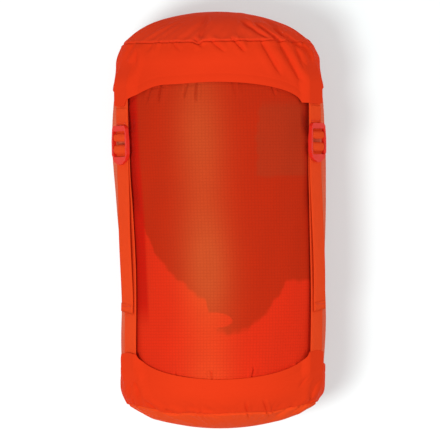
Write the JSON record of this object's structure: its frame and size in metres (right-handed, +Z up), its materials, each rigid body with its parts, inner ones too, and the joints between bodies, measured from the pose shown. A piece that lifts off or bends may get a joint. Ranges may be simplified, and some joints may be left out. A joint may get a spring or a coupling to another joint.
{
  "type": "compression sack",
  "caption": "Soft ripstop sack lying on its back, with a drawcord mouth, a base cap and a lid cap drawn together by side webbing straps and ladder-lock buckles.",
  "frame": {"origin": "bottom centre of the bounding box, on the floor under the middle of the sack lying on its back", "axes": "X width, +Y along the sack from the base to the lid, +Z up out of the front panel"},
  "size_m": [0.2136, 0.4158, 0.1618],
  "materials": {
    "ripstop_red": "matte",
    "ripstop_orange": "satin",
    "webbing": "matte",
    "buckle_plastic": "satin",
    "cord": "matte",
    "lock_plastic": "satin",
    "spring_steel": "brushed"
  },
  "bodies": {
    "base": {"base_skirt": "ripstop_orange", "base_end_panel": "ripstop_orange", "front_panel": "ripstop_red", "back_panel": "ripstop_red", "left_side_panel": "ripstop_red", "right_side_panel": "ripstop_red", "strap_front_left": "webbing", "strap_front_right": "webbing", "strap_back_left": "webbing", "strap_back_right": "webbing"},
    "mouth": {"mouth_collar": "ripstop_red", "drawcord_channel": "ripstop_red", "drawcord": "cord", "cord_lock_barrel": "lock_plastic"},
    "plunger": {"cord_lock_plunger": "lock_plastic", "cord_lock_spring": "spring_steel"},
    "lid": {"lid_skirt": "ripstop_orange", "lid_end_panel": "ripstop_orange", "anchor_front_left": "webbing", "anchor_front_right": "webbing", "anchor_back_left": "webbing", "anchor_back_right": "webbing"},
    "lock_front_left": {"buckle_front_left": "buckle_plastic"},
    "tail_front_left": {"tail_front_left": "webbing"},
    "lock_front_right": {"buckle_front_right": "buckle_plastic"},
    "tail_front_right": {"tail_front_right": "webbing"},
    "lock_back_left": {"buckle_back_left": "buckle_plastic"},
    "tail_back_left": {"tail_back_left": "webbing"},
    "lock_back_right": {"buckle_back_right": "buckle_plastic"},
    "tail_back_right": {"tail_back_right": "webbing"}
  },
  "joints": [
    {"name": "lid_travel", "type": "slide", "parent": "base", "child": "lid", "axis": [0, 1, 0], "range_m": [0, 0.08], "deforming": ["front_panel", "back_panel", "left_side_panel", "right_side_panel", "strap_front_left", "strap_front_right", "strap_back_left", "strap_back_right"]},
    {"name": "mouth_travel", "type": "slide", "parent": "base", "child": "mouth", "axis": [0, 1, 0], "range_m": [0, 0.036], "deforming": ["front_panel", "back_panel", "left_side_panel", "right_side_panel"]},
    {"name": "cord_lock_press", "type": "slide", "parent": "mouth", "child": "plunger", "axis": [0, 1, 0], "range_m": [0, 0.0028], "stiffness_N_per_m": 300, "deforming": ["cord_lock_spring"]},
    {"name": "buckle_tilt_front_left", "type": "hinge", "parent": "lid", "child": "lock_front_left", "pos_m": [-0.09693, 0.08293, 0.12017], "axis": [-0.5635, 0, -0.8261], "range_deg": [0, 15], "deforming": ["anchor_front_left", "tail_front_left", "strap_front_left"]},
    {"name": "tail_draw_front_left", "type": "slide", "parent": "lock_front_left", "child": "tail_front_left", "axis": [-0.0109, 0.9999, 0.0074], "range_m": [0, 0.08], "deforming": ["tail_front_left"]},
    {"name": "buckle_tilt_front_right", "type": "hinge", "parent": "lid", "child": "lock_front_right", "pos_m": [0.09693, 0.08293, 0.12017], "axis": [-0.5635, 0, 0.8261], "range_deg": [0, 15], "deforming": ["anchor_front_right", "tail_front_right", "strap_front_right"]},
    {"name": "tail_draw_front_right", "type": "slide", "parent": "lock_front_right", "child": "tail_front_right", "axis": [0.0109, 0.9999, 0.0074], "range_m": [0, 0.08], "deforming": ["tail_front_right"]},
    {"name": "buckle_tilt_back_left", "type": "hinge", "parent": "lid", "child": "lock_back_left", "pos_m": [-0.09693, 0.08293, 0.03683], "axis": [0.5635, 0, -0.8261], "range_deg": [0, 15], "deforming": ["anchor_back_left", "tail_back_left", "strap_back_left"]},
    {"name": "tail_draw_back_left", "type": "slide", "parent": "lock_back_left", "child": "tail_back_left", "axis": [-0.0109, 0.9999, -0.0074], "range_m": [0, 0.08], "deforming": ["tail_back_left"]},
    {"name": "buckle_tilt_back_right", "type": "hinge", "parent": "lid", "child": "lock_back_right", "pos_m": [0.09693, 0.08293, 0.03683], "axis": [0.5635, 0, 0.8261], "range_deg": [0, 15], "deforming": ["anchor_back_right", "tail_back_right", "strap_back_right"]},
    {"name": "tail_draw_back_right", "type": "slide", "parent": "lock_back_right", "child": "tail_back_right", "axis": [0.0109, 0.9999, -0.0074], "range_m": [0, 0.08], "deforming": ["tail_back_right"]}
  ],
  "couplings": [
    {"joint": "mouth_travel", "follows": "lid_travel", "ratio": 0.45},
    {"joint": "tail_draw_front_left", "follows": "lid_travel", "ratio": 1},
    {"joint": "tail_draw_front_right", "follows": "lid_travel", "ratio": 1},
    {"joint": "tail_draw_back_left", "follows": "lid_travel", "ratio": 1},
    {"joint": "tail_draw_back_right", "follows": "lid_travel", "ratio": 1}
  ]
}
